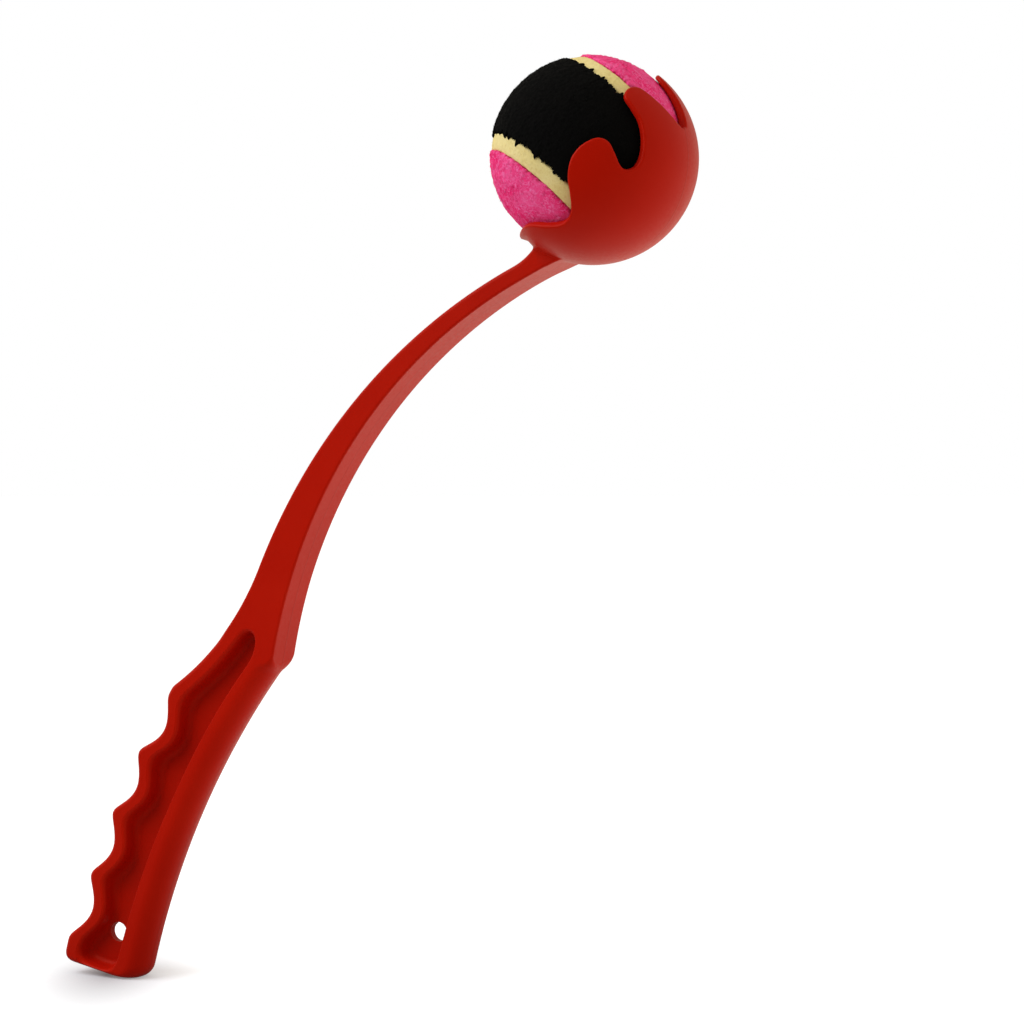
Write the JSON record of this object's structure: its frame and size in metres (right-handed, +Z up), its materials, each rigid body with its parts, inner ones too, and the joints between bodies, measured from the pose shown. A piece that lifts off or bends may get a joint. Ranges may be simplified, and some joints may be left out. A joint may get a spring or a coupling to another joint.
{
  "type": "dog ball thrower",
  "caption": "Dog ball thrower: moulded plastic handle with finger grooves and a hanging hole, curved springy arm and pronged cup that holds a felt-covered rubber ball.",
  "frame": {"origin": "centre of the hanging hole near the end of the handle, in the middle plane of the moulding", "axes": "+Z up along the thrower from the hanging hole towards the cup, +Y through the hanging hole and across the moulding, +X from the hanging hole towards the cup"},
  "size_m": [0.2391, 0.0664, 0.3139],
  "materials": {
    "thrower_plastic": "satin moulded red plastic with a soft sheen",
    "core_rubber": "plain moulded rubber",
    "felt_black": "napped black felt",
    "felt_pale": "flat pale yellow felt",
    "felt_pink": "napped pink felt"
  },
  "bodies": {
    "thrower": {"handle": "thrower_plastic", "arm": "thrower_plastic", "ball_cup": "thrower_plastic"},
    "ball": {"core_half_upper": "core_rubber", "core_half_lower": "core_rubber", "felt_black_belt": "felt_black", "felt_pale_ring_upper": "felt_pale", "felt_pale_ring_lower": "felt_pale", "felt_pink_cap_upper": "felt_pink", "felt_pink_cap_lower": "felt_pink"}
  },
  "joints": [
    {"name": "ball_release", "type": "slide", "parent": "thrower", "child": "ball", "axis": [-0.6917, -0.2079, 0.6917], "range_m": [0, 0.08]}
  ]
}
